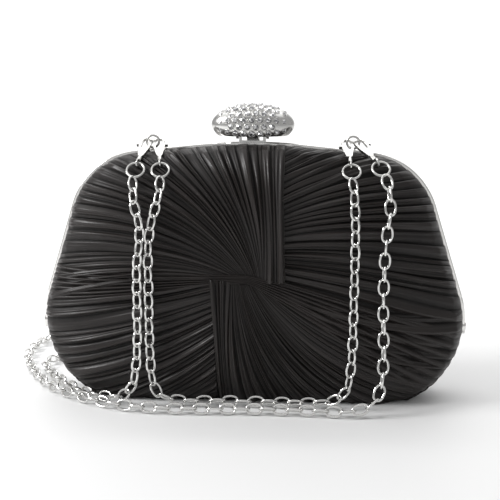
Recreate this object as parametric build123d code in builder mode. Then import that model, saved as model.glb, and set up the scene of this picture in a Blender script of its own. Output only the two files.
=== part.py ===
from build123d import *
import os
from math import asin, atan2, cos, degrees, pi, radians, sin, sqrt, tan

os.makedirs("parts", exist_ok=True)

# The bag stands on its flat base at Z 0 and faces -Y. Millimetres and degrees.

# ---- Outline of the two halves, seen from the front ----
base_half_width = 124.0      # corner of the outline before rounding, at the base
shoulder_half_width = 84.5   # corner of the outline before rounding, at the shoulder
shoulder_height = 124.0
crown_height = 132.6         # peak of the outline before rounding
base_radius = 44.0
shoulder_radius = 38.0
crown_radius = 260.0
base_sink = 3.0              # the moulded outline would run this far below the flat base

# ---- Depth of each half ----
panel_depth = 27.0           # from the middle plane to the front of the dome
rim_depth = 4.2              # straight rim, before the dome starts
dome_power = 4.0             # how squarely the dome turns over at its edge
half_gap = 0.15              # each half stands this far from the middle plane

# ---- Layers of each half ----
satin_thickness = 1.0
shell_thickness = 1.6
lining_thickness = 0.7
layer_gap = 0.05

# ---- Frame and its hinges ----
frame_proud = 1.8            # the frame stands this far outside the satin
frame_edge_round = 0.7
hinge_height = 38.0
base_gap = 10.5              # each half stands back this far from the middle plane at the base
ear_radius = 4.4
ear_step = 0.25              # the outer ear stands this far outside the frame
ear_gap = 0.1                # between the two ears, and around the rivet's neighbours
ear_relief = 0.35
rivet_radius = 1.2
rivet_clearance = 0.05
rivet_head_radius = 2.3
rivet_head_height = 0.6

# ---- Gathered satin on the front ----
knot_height = 66.5           # height of the knot in the middle of the panel
knot_offset = -1.5
knot_length = 24.0
knot_width = 9.0
knot_depth = 2.0
upper_fold = 18.0            # upright fold to the right of the middle, above the knot
lower_fold = 20.0            # upright fold to the left of the middle, below the knot
left_seam_height = 54.0      # where the seams from the knot meet the outline
right_seam_height = 40.0

# ---- Gusset that closes the base ----
gusset_thickness = 0.8
gusset_slack = 2.2           # clear of the lining, which curves in beside it
gusset_lap = 1.0             # it laps this far into each half
gusset_drop = 2.0            # it ends this far below the hinges

# ---- Clasp on the crown ----
clasp_half_length = 22.0
clasp_radius = 10.9
clasp_drop = 5.6             # from the dome's axis down to its mouth
clasp_wall = 1.4
clasp_frame_gap = 3.2        # from the frame's seat up to the dome's mouth
clasp_plate_thickness = 1.2
clasp_plate_gap = 0.1
seat_depth = 0.4             # flat filed into the crown of each half frame
bracket_half_length = 6.8
bracket_thickness = 1.0
lug_thickness = 1.4
lug_gap = 0.2
lug_radius = 1.7
pivot_radius = 0.75
pivot_clearance = 0.05
pivot_rise = 3.4             # pivot axis above the frame's seat
spring_wire = 0.5
spring_turns = 6
catch_half_length = 3.2
catch_half_depth = 1.2
catch_rise = 2.4
window_gap = 0.5             # round the bracket's lugs, so that the rocker can tip
snap_gap = 0.12              # the rocker's pad stops this far above the catch

# ---- Stones on the clasp ----
stone_radius = 1.5
stone_height = 1.5
stone_table = 0.8            # radius of the flat top of a stone
stone_pitch = 4.0
stone_seat_depth = 0.9
stone_clearance = 0.08

# ---- Chain loops, lobster clasps and jump rings ----
loop_offset = 51.0           # from the middle of the frame out to each loop
loop_radius = 3.1
loop_wire = 0.6
loop_sink = 0.0              # how far the loop is soldered into the frame
loop_back = 3.7              # the loop stands this far in front of the middle plane
hook_drop = 14.2             # a lobster clasp drops this far while it reaches out over the dome's depth
hook_outer = 3.1
hook_inner = 1.7
hook_length = 11.5
hook_tail = 1.5
hook_thickness = 1.6
hook_slack = 0.3
hook_opening = 5.0           # straight part of the opening
gate_tip = 1.1               # tip of the lever below the hook's centre
gate_gap = 0.35
gate_pivot = (1.8, -7.0)
gate_boss = 1.0
gate_boss_thickness = 0.6
gate_side_gap = 0.08
gate_pin_radius = 0.35
tab_length = 1.0
tab_width = 0.9
gate_pin_clearance = 0.04
swivel_post = 0.5
swivel_clearance = 0.05
swivel_depth = 1.3           # how far the post goes into the clasp's tail
swivel_barrel = 1.2
swivel_barrel_length = 3.0
eye_radius = 1.9
eye_wire = 0.5
jump_radius = 4.4
jump_wire = 0.6

# ---- Chains ----
chain_width = 6.3            # across the links of the cable chain
chain_start_gap = 0.1
coil_radius = 32.0           # middle of the put-away coil's turns
coil_x = -58.0
coil_y = 92.0

# ---- Values that follow ----
middle_height = (crown_height - base_sink) / 2
shell_inset = satin_thickness + layer_gap
frame_inset = shell_inset + shell_thickness
lining_inset = frame_inset + layer_gap
gusset_inset = lining_inset + lining_thickness + gusset_slack
gap_angle = degrees(atan2(base_gap, hinge_height))
crown_turn = atan2(crown_height - shoulder_height, shoulder_half_width)
crown_top = crown_height - crown_radius * (1 / cos(crown_turn) - 1)
frame_top = crown_top + frame_proud
seat_height = frame_top - seat_depth
frame_depth = rim_depth - layer_gap
seat_half_length = bracket_half_length + lug_gap
pivot_back = (frame_depth + half_gap) / 2       # pivot axis in front of the middle plane
pivot_height = seat_height + pivot_rise
rocker_lug_end = bracket_half_length + lug_gap + lug_thickness
mouth_height = seat_height + clasp_frame_gap
dome_axis = mouth_height + clasp_drop
spring_radius = pivot_radius + spring_wire + 0.1
spring_pitch = 1.96 * spring_wire
catch_back = (frame_depth + half_gap) / 2
gusset_top = hinge_height - gusset_drop
span = 3 * base_half_width      # a cutting box or slab longer than the bag


def outline(plane, inset=0.0, share=1.0):
    """The outline on a plane through the panel's middle, scaled by share, then moved in by inset."""
    corners = [
        (-base_half_width, -base_sink - middle_height),
        (base_half_width, -base_sink - middle_height),
        (shoulder_half_width, shoulder_height - middle_height),
        (0, crown_height - middle_height),
        (-shoulder_half_width, shoulder_height - middle_height),
    ]
    radii = [base_radius, base_radius, shoulder_radius, crown_radius, shoulder_radius]
    with BuildSketch(plane) as profile:
        with BuildLine():
            FilletPolyline(
                *[(x * share, z * share) for x, z in corners],
                radius=[radius * share for radius in radii],
                close=True,
            )
        make_face()
        if inset:
            offset(amount=-inset)
    return profile.sketch


def panel_plane(depth):
    """Plane across the bag at a depth in front of its middle, centred on the panel."""
    return Plane(origin=(0, -depth, middle_height), x_dir=(1, 0, 0), z_dir=(0, -1, 0))


def half_body(inset):
    """Solid front half: a straight rim, then the dome, moved in by inset on every side."""
    shares = [1.0, 0.985, 0.96, 0.92, 0.86, 0.77, 0.64, 0.45, 0.2]
    dome_height = panel_depth - rim_depth - inset
    sections = []
    for share in shares:
        depth = rim_depth + dome_height * sqrt(1 - share**dome_power)
        sections += outline(panel_plane(depth), inset, share).faces()
    with BuildPart() as body:
        extrude(outline(panel_plane(0), inset), amount=rim_depth)
        loft(sections, ruled=True)
        with Locations((0, 0, inset)):
            Box(span, span, span, align=(Align.CENTER, Align.CENTER, Align.MAX), mode=Mode.SUBTRACT)
    return body.part


def half_layer(outer, thickness):
    """One layer of the front half, cut back for the base gap, the frame and the hinge ears."""
    with BuildPart() as layer:
        add(half_body(outer))
        add(half_body(outer + thickness), mode=Mode.SUBTRACT)
        add(base_wedge.part, mode=Mode.SUBTRACT)
        add(frame_channel.part, mode=Mode.SUBTRACT)
    return layer.part


def write(piece, name):
    """Label one finished piece and write it."""
    piece.label = name
    export_step(piece, "parts/" + name + ".step")


def mirrored(piece):
    """The same piece on the back half."""
    with BuildPart() as copy:
        mirror(piece, about=Plane.XZ)
    return copy.part


# The space each half leaves free: in front of the middle plane, and the wedge below the hinge.
with BuildPart() as base_wedge:
    with BuildSketch(Plane.YZ):
        with BuildLine():
            Polyline(
                (span, span),
                (-half_gap, span),
                (-half_gap, hinge_height),
                (-half_gap - base_gap, 0),
                (-half_gap - base_gap, -span),
                (span, -span),
                close=True,
            )
        make_face()
    extrude(amount=span, both=True)


def half_width_at(height):
    """Half width of the satin's outline at a height on its side or its lower corner."""
    side_turn = atan2(base_half_width - shoulder_half_width, shoulder_height + base_sink)
    rise = height + base_sink
    if rise > base_radius * (1 + sin(side_turn)):
        return base_half_width - rise * sin(side_turn) / cos(side_turn)
    corner_x = base_half_width - base_radius / tan((pi / 2 - side_turn) / 2)
    return corner_x + sqrt(base_radius**2 - (rise - base_radius) ** 2)


def frame_top_at(x):
    """Height of the frame's top at a distance from the middle, between the crown and a shoulder."""
    if abs(x) < crown_radius * sin(crown_turn):
        return crown_top - crown_radius + sqrt(crown_radius**2 - x**2) + frame_proud
    return crown_height - abs(x) * tan(crown_turn) + frame_proud / cos(crown_turn)


# ---- Places that follow from the outline ----
ear_outer = half_width_at(hinge_height) + frame_proud + ear_step
ear_inner = half_width_at(hinge_height) - frame_inset
ear_middle = (ear_outer + ear_inner) / 2
loop_height = frame_top_at(loop_offset) + loop_radius + loop_wire - loop_sink


def ear_disc(near, far, radius, side):
    """Disc about the hinge axis between two distances from the bag's middle, on one side."""
    plane = Plane(origin=(side * near, 0, hinge_height), x_dir=(0, 1, 0), z_dir=(side, 0, 0))
    with BuildPart() as disc:
        with BuildSketch(plane):
            Circle(radius)
        extrude(amount=far - near)
    return disc.part


# Channel that the frame and its ears fill at the edge of the satin and the shell.
with BuildPart() as frame_channel:
    extrude(outline(panel_plane(0), -frame_proud - 1), amount=rim_depth)
    extrude(outline(panel_plane(0), frame_inset + layer_gap / 2), amount=rim_depth, mode=Mode.SUBTRACT)
    with Locations((0, 0, hinge_height)):
        Box(span, span, span, align=(Align.CENTER, Align.CENTER, Align.MAX), mode=Mode.SUBTRACT)
    for side in (-1, 1):
        add(ear_disc(ear_inner - ear_gap, ear_outer + 1, ear_radius + ear_relief, side))


# ---- Front half: shell, lining and the four satin panels gathered to the knot ----
front_shell = half_layer(shell_inset, shell_thickness)
front_lining = half_layer(lining_inset, lining_thickness)
front_satin = half_layer(0, satin_thickness)
right_fall = (knot_height - right_seam_height) / (half_width_at(right_seam_height) - upper_fold)
left_fall = (knot_height - left_seam_height) / (half_width_at(left_seam_height) - lower_fold)
right_end = knot_height - (span - upper_fold) * right_fall
left_end = knot_height - (span - lower_fold) * left_fall
satin_regions = {
    "satin_upper_left": [
        (-span, left_end), (-lower_fold, knot_height), (upper_fold, knot_height), (upper_fold, span), (-span, span)
    ],
    "satin_upper_right": [(upper_fold, knot_height), (span, right_end), (span, span), (upper_fold, span)],
    "satin_lower_right": [
        (-lower_fold, -span), (span, -span), (span, right_end), (upper_fold, knot_height), (-lower_fold, knot_height)
    ],
    "satin_lower_left": [(-span, -span), (-lower_fold, -span), (-lower_fold, knot_height), (-span, left_end)],
}
for name, corners in satin_regions.items():
    with BuildPart() as satin_panel:
        with BuildSketch(Plane.XZ):
            with BuildLine():
                Polyline(*corners, close=True)
            make_face()
        extrude(amount=2 * panel_depth)
        add(front_satin, mode=Mode.INTERSECT)
    write(satin_panel.part, name)

with BuildPart() as satin_knot:
    with BuildSketch(panel_plane(panel_depth)):
        with Locations((knot_offset, knot_height - middle_height)):
            Ellipse(knot_length / 2, knot_width / 2)
    extrude(amount=knot_depth)
write(satin_knot.part, "satin_knot")
write(front_shell, "front_shell")
write(front_lining, "front_lining")

# ---- Back half: the same mouldings, covered in one piece of satin ----
write(mirrored(front_shell), "back_shell")
write(mirrored(front_lining), "back_lining")
write(mirrored(front_satin), "back_satin")

# ---- Gusset across the base gap, inside the linings ----
with BuildPart() as bottom_gusset:
    for inset, mode in ((gusset_inset, Mode.ADD), (gusset_inset + gusset_thickness, Mode.SUBTRACT)):
        with BuildPart(mode=Mode.PRIVATE) as cavity:
            extrude(outline(panel_plane(0), inset), amount=panel_depth, both=True)
            with Locations((0, 0, inset)):
                Box(span, span, span, align=(Align.CENTER, Align.CENTER, Align.MAX), mode=Mode.SUBTRACT)
        add(cavity.part, mode=mode)
    with BuildSketch(Plane.YZ):
        with BuildLine():
            Polyline(
                (-gusset_lap, gusset_top),
                (-base_gap - gusset_lap, 0),
                (base_gap + gusset_lap, 0),
                (gusset_lap, gusset_top),
                close=True,
            )
        make_face()
    extrude(amount=span, both=True, mode=Mode.INTERSECT)
write(bottom_gusset.part, "bottom_gusset")


# ---- Loops for the chains, soldered to the front half of the frame ----
loop_places = {side: Vector(side * loop_offset, -loop_back, loop_height) for side in (-1, 1)}
loops = {}
for side, side_name in ((-1, "left"), (1, "right")):
    with BuildPart() as chain_loop:
        with Locations(Plane(origin=loop_places[side], z_dir=(0, 1, 0))):
            Torus(loop_radius, loop_wire)
    loops[side] = chain_loop.part
    write(chain_loop.part, "chain_loop_" + side_name)


def half_frame(front):
    """One half of the frame as made, on the front side, with its ears and rivet bores."""
    bore = rivet_radius if front else rivet_radius + rivet_clearance
    own = (ear_middle + ear_gap / 2, ear_outer) if front else (ear_inner, ear_middle - ear_gap / 2)
    other = (ear_inner - 1, ear_middle) if front else (ear_middle, ear_outer + 1)
    with BuildPart() as half:
        extrude(outline(panel_plane(0), -frame_proud), amount=frame_depth)
        extrude(outline(panel_plane(0), frame_inset), amount=frame_depth, mode=Mode.SUBTRACT)
        with Locations((0, 0, hinge_height)):
            Box(span, span, span, align=(Align.CENTER, Align.CENTER, Align.MAX), mode=Mode.SUBTRACT)
        Box(span, 2 * half_gap, span, mode=Mode.SUBTRACT)
        front_edges = half.edges().group_by(Axis.Y)[0]
        fillet(front_edges.filter_by(GeomType.LINE, reverse=True), frame_edge_round)
        with Locations((0, 0, seat_height)):
            Box(
                2 * seat_half_length,
                span,
                span,
                align=(Align.CENTER, Align.CENTER, Align.MIN),
                mode=Mode.SUBTRACT,
            )
        for side in (-1, 1):
            add(ear_disc(*other, ear_radius + ear_relief, side), mode=Mode.SUBTRACT)
            add(ear_disc(*own, ear_radius, side))
            add(ear_disc(ear_inner - 1, ear_outer + 1, bore, side), mode=Mode.SUBTRACT)
            if front:
                add(loops[side], mode=Mode.SUBTRACT)
    return half.part


write(half_frame(True), "front_frame")
write(mirrored(half_frame(False)), "back_frame")

with BuildPart() as hinge_rivets:
    for side in (-1, 1):
        add(ear_disc(ear_inner, ear_outer + rivet_head_height / 2, rivet_radius, side))
        add(ear_disc(ear_outer, ear_outer + rivet_head_height, rivet_head_radius, side))
write(hinge_rivets.part, "hinge_rivets")


# ---- Clasp: a bracket on the front frame carries a rocker under a stone-set dome ----
def cross_pin(start, end, radius):
    """Round bar along X on the clasp's pivot axis."""
    with BuildPart() as bar:
        with BuildSketch(Plane(origin=(start, -pivot_back, pivot_height), x_dir=(0, 1, 0), z_dir=(1, 0, 0))):
            Circle(radius)
        extrude(amount=end - start)
    return bar.part


def pivot_lug(start, foot_height):
    """Lug across X with a round end on the clasp's pivot axis, down or up to a foot."""
    plane = Plane(origin=(start, -pivot_back, pivot_height), x_dir=(0, 1, 0), z_dir=(1, 0, 0))
    with BuildPart() as lug:
        with BuildSketch(plane):
            Circle(lug_radius)
            with Locations((0, (foot_height - pivot_height) / 2)):
                Rectangle(2 * lug_radius, abs(foot_height - pivot_height))
        extrude(amount=lug_thickness)
    return lug.part


with BuildPart() as clasp_bracket:
    with Locations((0, -(frame_depth + half_gap) / 2, seat_height)):
        Box(
            2 * bracket_half_length,
            frame_depth - half_gap,
            bracket_thickness,
            align=(Align.CENTER, Align.CENTER, Align.MIN),
        )
    add(pivot_lug(-bracket_half_length, seat_height + bracket_thickness / 2))
    add(pivot_lug(bracket_half_length - lug_thickness, seat_height + bracket_thickness / 2))
    add(cross_pin(-span, span, pivot_radius), mode=Mode.SUBTRACT)
write(clasp_bracket.part, "clasp_bracket")
write(cross_pin(-rocker_lug_end, rocker_lug_end, pivot_radius), "clasp_pivot_pin")

with BuildPart() as clasp_spring:
    for turn in range(spring_turns):
        place = (turn - (spring_turns - 1) / 2) * spring_pitch
        with Locations(Plane(origin=(place, -pivot_back, pivot_height), z_dir=(1, 0, 0))):
            Torus(spring_radius, spring_wire)
write(clasp_spring.part, "clasp_spring")

with BuildPart() as clasp_catch:
    with Locations((0, catch_back, seat_height)):
        Box(
            2 * catch_half_length,
            2 * catch_half_depth,
            catch_rise,
            align=(Align.CENTER, Align.CENTER, Align.MIN),
        )
    fillet(clasp_catch.edges().group_by(Axis.Z)[-1], catch_half_depth / 3)
write(clasp_catch.part, "clasp_catch")

inner_half_length = clasp_half_length - clasp_wall
inner_radius = clasp_radius - clasp_wall
mouth_half_depth = sqrt(inner_radius**2 - clasp_drop**2)
mouth_half_length = inner_half_length * mouth_half_depth / inner_radius
with BuildPart() as clasp_rocker:
    with BuildSketch(Plane.XY.offset(mouth_height)):
        Ellipse(mouth_half_length - clasp_plate_gap, mouth_half_depth - clasp_plate_gap)
        with Locations((0, -pivot_back)):
            Rectangle(2 * (bracket_half_length + lug_gap), 2 * (lug_radius + window_gap), mode=Mode.SUBTRACT)
    extrude(amount=clasp_plate_thickness)
    add(pivot_lug(-rocker_lug_end, mouth_height + clasp_plate_thickness / 2))
    add(pivot_lug(rocker_lug_end - lug_thickness, mouth_height + clasp_plate_thickness / 2))
    with BuildSketch(Plane.XY.offset(seat_height + catch_rise + snap_gap)):
        with Locations((0, catch_back)):
            Rectangle(2 * catch_half_length, 2 * catch_half_depth)
    extrude(amount=clasp_frame_gap - catch_rise - snap_gap + clasp_plate_thickness / 2)
    add(cross_pin(-span, span, pivot_radius + pivot_clearance), mode=Mode.SUBTRACT)
write(clasp_rocker.part, "clasp_rocker")


def spindle(half_length, radius):
    """Long ellipse turned about the dome's own axis, which lies along X, in narrow cone bands."""
    bands = 28
    turns = [pi * index / bands - pi / 2 for index in range(bands + 1)]
    profile = [(half_length * sin(turn), -radius * cos(turn)) for turn in turns]
    with BuildPart() as solid:
        with BuildSketch(Plane(origin=(0, 0, dome_axis), x_dir=(1, 0, 0), z_dir=(0, -1, 0))):
            with BuildLine():
                Polyline((-half_length, 0), *profile[1:-1], (half_length, 0), close=True)
            make_face()
        revolve(axis=Axis((0, 0, dome_axis), (1, 0, 0)))
    return solid.part


def stone_places():
    """Planes on the dome, one for each stone, in rings one stone pitch apart."""
    stations = [0.0]
    angle = 0.0
    travelled = 0.0
    step = 0.002
    while clasp_half_length * (1 - sin(angle)) > stone_radius / 2:
        travelled += step * sqrt((clasp_half_length * cos(angle)) ** 2 + (clasp_radius * sin(angle)) ** 2)
        angle += step
        if travelled >= stone_pitch:
            stations += [angle, -angle]
            travelled = 0.0
    places = []
    for station, angle in enumerate(sorted(stations)):
        ring = clasp_radius * cos(angle)
        lowest = clasp_drop - stone_radius
        reach = pi if ring <= lowest else pi / 2 + asin(lowest / ring)
        count = max(1, int(2 * reach * ring / stone_pitch))
        for index in range(count):
            around = reach * ((2 * index + 1) / count - 1)
            normal = Vector(
                clasp_radius * sin(angle),
                clasp_half_length * cos(angle) * sin(around),
                clasp_half_length * cos(angle) * cos(around),
            )
            origin = (
                clasp_half_length * sin(angle),
                ring * sin(around),
                dome_axis + ring * cos(around),
            )
            places.append(Plane(origin=origin, z_dir=normal))
    return places


seats = stone_places()
with BuildPart() as stone:
    with BuildSketch(Plane.XY.offset(-stone_seat_depth)):
        RegularPolygon(stone_radius, 8)
    with BuildSketch(Plane.XY.offset(stone_height - stone_seat_depth)):
        RegularPolygon(stone_table, 8)
    loft()
with BuildPart() as clasp_stones:
    with Locations(*seats):
        add(stone.part)
write(clasp_stones.part, "clasp_stones")

with BuildPart() as clasp_dome:
    add(spindle(clasp_half_length, clasp_radius))
    add(spindle(inner_half_length, inner_radius), mode=Mode.SUBTRACT)
    with Locations((0, 0, mouth_height)):
        Box(span, span, span, align=(Align.CENTER, Align.CENTER, Align.MAX), mode=Mode.SUBTRACT)
    with Locations(*seats):
        Cylinder(
            stone_radius + stone_clearance,
            2 * stone_seat_depth,
            mode=Mode.SUBTRACT,
        )
write(clasp_dome.part, "clasp_dome")
print("stones", len(seats), len(clasp_stones.part.solids()), "dome solids", len(clasp_dome.part.solids()))


# ---- Lobster clasps: each hooks one side of a loop, lies forward and down, and carries a jump ring ----
def hook_plane(loop_side, hooked_side, swing):
    """A lobster clasp's own plane: origin at its hook's centre, Y to its head, Z out of its face."""
    slope = atan2(hook_drop, panel_depth - rim_depth)
    turn = radians(swing)
    normal = Vector(0, -sin(slope), cos(slope))
    head = Vector(-sin(turn), cos(turn) * cos(slope), cos(turn) * sin(slope))
    wire = loop_places[loop_side] + Vector(hooked_side * loop_radius, 0, 0)
    return Plane(origin=wire - head * hook_slack, x_dir=head.cross(normal), z_dir=normal)


def lobster_body(plane, gate):
    """Flat hook with an open side for its lever; gate is 1 or -1 along the plane's X."""
    window_height = -gate_pivot[1] - gate_boss - gate_tip + gate_gap
    with BuildPart() as body:
        with BuildSketch(plane):
            Circle(hook_outer)
            with Locations((0, -hook_length * 0.45)):
                Circle(hook_outer * 0.92)
            with Locations((0, -hook_length)):
                Circle(hook_tail)
            make_hull()
        extrude(amount=hook_thickness / 2, both=True)
        with BuildSketch(plane) as cuts:
            with Locations((0, -hook_opening / 2)):
                SlotCenterToCenter(hook_opening, 2 * hook_inner, rotation=90)
            with Locations((gate * (hook_inner / 2 + hook_outer), -gate_tip + gate_gap - window_height / 2)):
                Rectangle(2 * hook_outer, window_height)
        extrude(amount=hook_thickness, both=True, mode=Mode.SUBTRACT)
        with BuildSketch(plane):
            with Locations((gate * gate_pivot[0], gate_pivot[1])):
                Circle(gate_boss + gate_side_gap)
            with Locations((gate * (gate_pivot[0] + hook_outer / 2), gate_pivot[1])):
                Rectangle(hook_outer, 2 * (gate_boss + gate_side_gap))
        extrude(amount=gate_boss_thickness / 2 + gate_side_gap, both=True, mode=Mode.SUBTRACT)
        with BuildSketch(plane):
            with Locations((gate * gate_pivot[0], gate_pivot[1])):
                Circle(gate_pin_radius)
        extrude(amount=hook_thickness, both=True, mode=Mode.SUBTRACT)
        tail_plane = Plane(
            origin=plane.from_local_coords((0, -hook_length - hook_tail - swivel_barrel, 0)), z_dir=plane.y_dir
        )
        with BuildSketch(tail_plane):
            Circle(swivel_post + swivel_clearance)
        extrude(amount=swivel_depth + swivel_barrel, mode=Mode.SUBTRACT)
    return body.part


def lobster_lever(plane, gate):
    """Lever that closes the hook, with its pivot boss and a thumb tab."""
    bar_height = -gate_pivot[1] - gate_boss - gate_tip - gate_gap / 2
    bar_width = hook_outer * 0.93 - hook_inner
    with BuildPart() as lever:
        with BuildSketch(plane):
            with Locations((gate * (hook_inner + bar_width / 2), -gate_tip - bar_height / 2)):
                Rectangle(bar_width, bar_height)
            with Locations((gate * (hook_inner + bar_width + tab_length / 2), -gate_tip - bar_height / 2)):
                SlotOverall(tab_length + bar_width, tab_width)
        extrude(amount=hook_thickness / 2, both=True)
        with BuildSketch(plane):
            with Locations((gate * gate_pivot[0], gate_pivot[1])):
                Circle(gate_boss)
            with Locations((gate * (hook_inner + bar_width / 2), gate_pivot[1] + gate_boss / 2)):
                Rectangle(bar_width, gate_boss + gate_gap)
        extrude(amount=gate_boss_thickness / 2, both=True)
        with BuildSketch(plane):
            with Locations((gate * gate_pivot[0], gate_pivot[1])):
                Circle(gate_pin_radius + gate_pin_clearance)
        extrude(amount=hook_thickness, both=True, mode=Mode.SUBTRACT)
    return lever.part


def swivel_eye(plane):
    """Post in the clasp's tail, a barrel, and an eye whose hole runs across the clasp."""
    tail = -hook_length - hook_tail
    barrel_top = tail - swivel_clearance
    post_plane = Plane(origin=plane.from_local_coords((0, barrel_top, 0)), z_dir=plane.y_dir)
    eye_place = Plane(
        origin=plane.from_local_coords((0, barrel_top - swivel_barrel_length - eye_radius, 0)), z_dir=plane.x_dir
    )
    with BuildPart() as swivel:
        with BuildSketch(post_plane):
            Circle(swivel_post)
        extrude(amount=swivel_depth)
        with BuildSketch(post_plane):
            Circle(swivel_barrel)
        extrude(amount=-swivel_barrel_length)
        with Locations(eye_place):
            Torus(eye_radius, eye_wire)
    return swivel.part


def jump_ring(plane, turn_down):
    """Ring through a swivel's eye, turned down from the clasp's slope; also where its chain starts."""
    barrel_top = -hook_length - hook_tail - swivel_clearance
    eye = plane.from_local_coords((0, barrel_top - swivel_barrel_length - eye_radius, 0))
    turn = radians(turn_down)
    hang = plane.y_dir * -cos(turn) - plane.z_dir * sin(turn)
    with BuildPart() as ring:
        with Locations(Plane(origin=eye + hang * jump_radius, z_dir=hang.cross(plane.x_dir))):
            Torus(jump_radius, jump_wire)
    return ring.part, eye + hang * (2 * jump_radius + jump_wire + chain_start_gap), hang


# Loop side, hooked side, swing to +X, gate side, and how far the jump ring turns down.
lobsters = {
    "long_left": (-1, -1, -8, -1, 14),
    "short_left": (-1, 1, 8, 1, 14),
    "short_right": (1, -1, 6, -1, 14),
    "long_right": (1, 1, 28, 1, 14),
}
with BuildPart() as lobster_pins:
    for name, (loop_side, hooked_side, swing, gate, turn_down) in lobsters.items():
        plane = hook_plane(loop_side, hooked_side, swing)
        with BuildSketch(plane):
            with Locations((gate * gate_pivot[0], gate_pivot[1])):
                Circle(gate_pin_radius)
        extrude(amount=hook_thickness / 2, both=True)
write(lobster_pins.part, "lobster_pins")
for name, (loop_side, hooked_side, swing, gate, turn_down) in lobsters.items():
    plane = hook_plane(loop_side, hooked_side, swing)
    write(lobster_body(plane, gate), "lobster_" + name)
    write(lobster_lever(plane, gate), "lever_" + name)
    write(swivel_eye(plane), "swivel_" + name)
    ring, chain_start, hang = jump_ring(plane, turn_down)
    write(ring, "jump_ring_" + name)
    pivot = plane.from_local_coords((gate * gate_pivot[0], gate_pivot[1], 0))
    print(name, "chain starts", chain_start, "heading", hang, "pivot", pivot, "axis", plane.z_dir * gate)


# ---- The two cable chains, as round tubes across their links, and the coil of the long one ----
def chain_tube(points):
    """Tube along straight runs joined by arcs as large as their runs allow."""
    corners = [Vector(*point) for point in points]
    radii = []
    for before, corner, after in zip(corners, corners[1:], corners[2:]):
        run = min((corner - before).length, (after - corner).length)
        turn = (corner - before).get_angle(after - corner)
        radii.append(0.45 * run / tan(radians(turn) / 2))
    with BuildPart() as tube:
        with BuildLine() as path:
            FilletPolyline(*corners, radius=radii)
        length = path.wire().length
        with BuildSketch(Plane(origin=path.wire() @ 0, z_dir=path.wire() % 0)):
            Circle(chain_width / 2)
        sweep()
    print("length", round(length, 1), "filled", tube.part.volume / (length * pi * chain_width**2 / 4))
    print("radii", [round(radius, 1) for radius in radii])
    return tube.part


short_route = [
    (-44.1, -25.6, 116.5), (-43.6, -31.8, 107.6), (-48.0, -32.2, 90.0), (-50.6, -31.8, 54.0),
    (-50.2, -32.0, 24.0), (-48.0, -32.4, 8.0), (-38.0, -30.0, 3.2), (-14.0, -27.2, 3.2),
    (14.0, -28.4, 3.2), (38.0, -28.6, 3.2), (49.0, -31.6, 8.0), (51.4, -32.4, 24.0),
    (50.2, -31.8, 56.0), (50.4, -32.0, 90.0), (51.7, -31.8, 107.6), (50.8, -25.7, 116.5),
]
left_route = [
    (-57.9, -25.6, 116.5), (-59.0, -31.8, 107.6), (-57.2, -32.2, 90.0), (-58.4, -31.8, 54.0),
    (-58.0, -32.2, 24.0), (-61.0, -31.6, 8.0), (-71.0, -27.0, 3.2), (-85.0, -19.0, 3.2),
    (-97.5, -7.0, 3.2), (-107.0, 8.0, 3.2), (-117.0, 23.0, 3.2), (-121.0, 39.0, 3.2),
    (-114.0, 51.5, 3.2), (-99.0, 54.5, 3.2), (-78.0, 51.5, 3.2), (-58.0, 50.3, 3.2),
]
right_route = [
    (-58.0, 133.7, 3.2), (-80.0, 133.0, 3.2), (-103.0, 126.0, 3.2), (-122.0, 111.0, 3.2),
    (-133.0, 90.0, 3.2), (-136.5, 66.0, 3.2), (-133.0, 43.0, 3.2), (-125.0, 23.0, 3.2),
    (-115.5, 4.0, 3.2), (-103.0, -12.5, 3.2), (-88.0, -25.0, 3.2), (-70.0, -36.5, 3.2),
    (-48.0, -42.0, 3.2), (-22.0, -41.5, 3.2), (6.0, -39.6, 3.2), (32.0, -40.6, 3.2),
    (54.0, -43.0, 3.2), (65.0, -39.5, 8.0), (67.6, -34.5, 24.0), (66.4, -31.6, 56.0),
    (67.2, -31.8, 88.0), (70.4, -30.6, 106.6), (67.0, -23.1, 118.1),
]
write(chain_tube(short_route), "short_chain")
write(chain_tube(left_route), "long_chain_left")
write(chain_tube(right_route), "long_chain_right")
with BuildPart() as long_chain_coil:
    with BuildSketch(Plane((coil_x, coil_y, 0))):
        Circle(coil_radius + chain_width)
        Circle(coil_radius - chain_width, mode=Mode.SUBTRACT)
    extrude(amount=2 * chain_width)
write(long_chain_coil.part, "long_chain_coil")
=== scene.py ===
from math import cos, pi, radians, sin, sqrt

import bmesh
import bpy
import numpy as np
from mathutils import Matrix, Vector


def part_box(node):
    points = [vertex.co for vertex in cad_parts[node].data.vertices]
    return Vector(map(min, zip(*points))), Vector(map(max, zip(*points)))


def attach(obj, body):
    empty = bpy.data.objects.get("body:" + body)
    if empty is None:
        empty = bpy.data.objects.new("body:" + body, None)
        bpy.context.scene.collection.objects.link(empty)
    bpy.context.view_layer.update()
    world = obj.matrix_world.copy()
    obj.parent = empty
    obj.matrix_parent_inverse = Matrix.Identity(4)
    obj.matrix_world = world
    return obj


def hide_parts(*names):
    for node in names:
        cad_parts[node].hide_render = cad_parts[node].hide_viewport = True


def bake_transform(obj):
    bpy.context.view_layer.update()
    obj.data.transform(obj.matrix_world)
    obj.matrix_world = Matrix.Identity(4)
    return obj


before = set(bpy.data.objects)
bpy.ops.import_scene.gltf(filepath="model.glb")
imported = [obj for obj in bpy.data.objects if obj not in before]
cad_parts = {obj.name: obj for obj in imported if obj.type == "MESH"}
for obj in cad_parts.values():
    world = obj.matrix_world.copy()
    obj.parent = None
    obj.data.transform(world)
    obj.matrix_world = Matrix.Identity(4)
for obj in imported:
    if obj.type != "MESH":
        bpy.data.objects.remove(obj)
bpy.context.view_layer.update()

# ---- Table, light and camera ----
# The bag stands on a white table that curves up behind it. A small key light stands on its left,
# a wide one hangs overhead, and a third brightens the curved wall behind.
scene = bpy.context.scene


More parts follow.
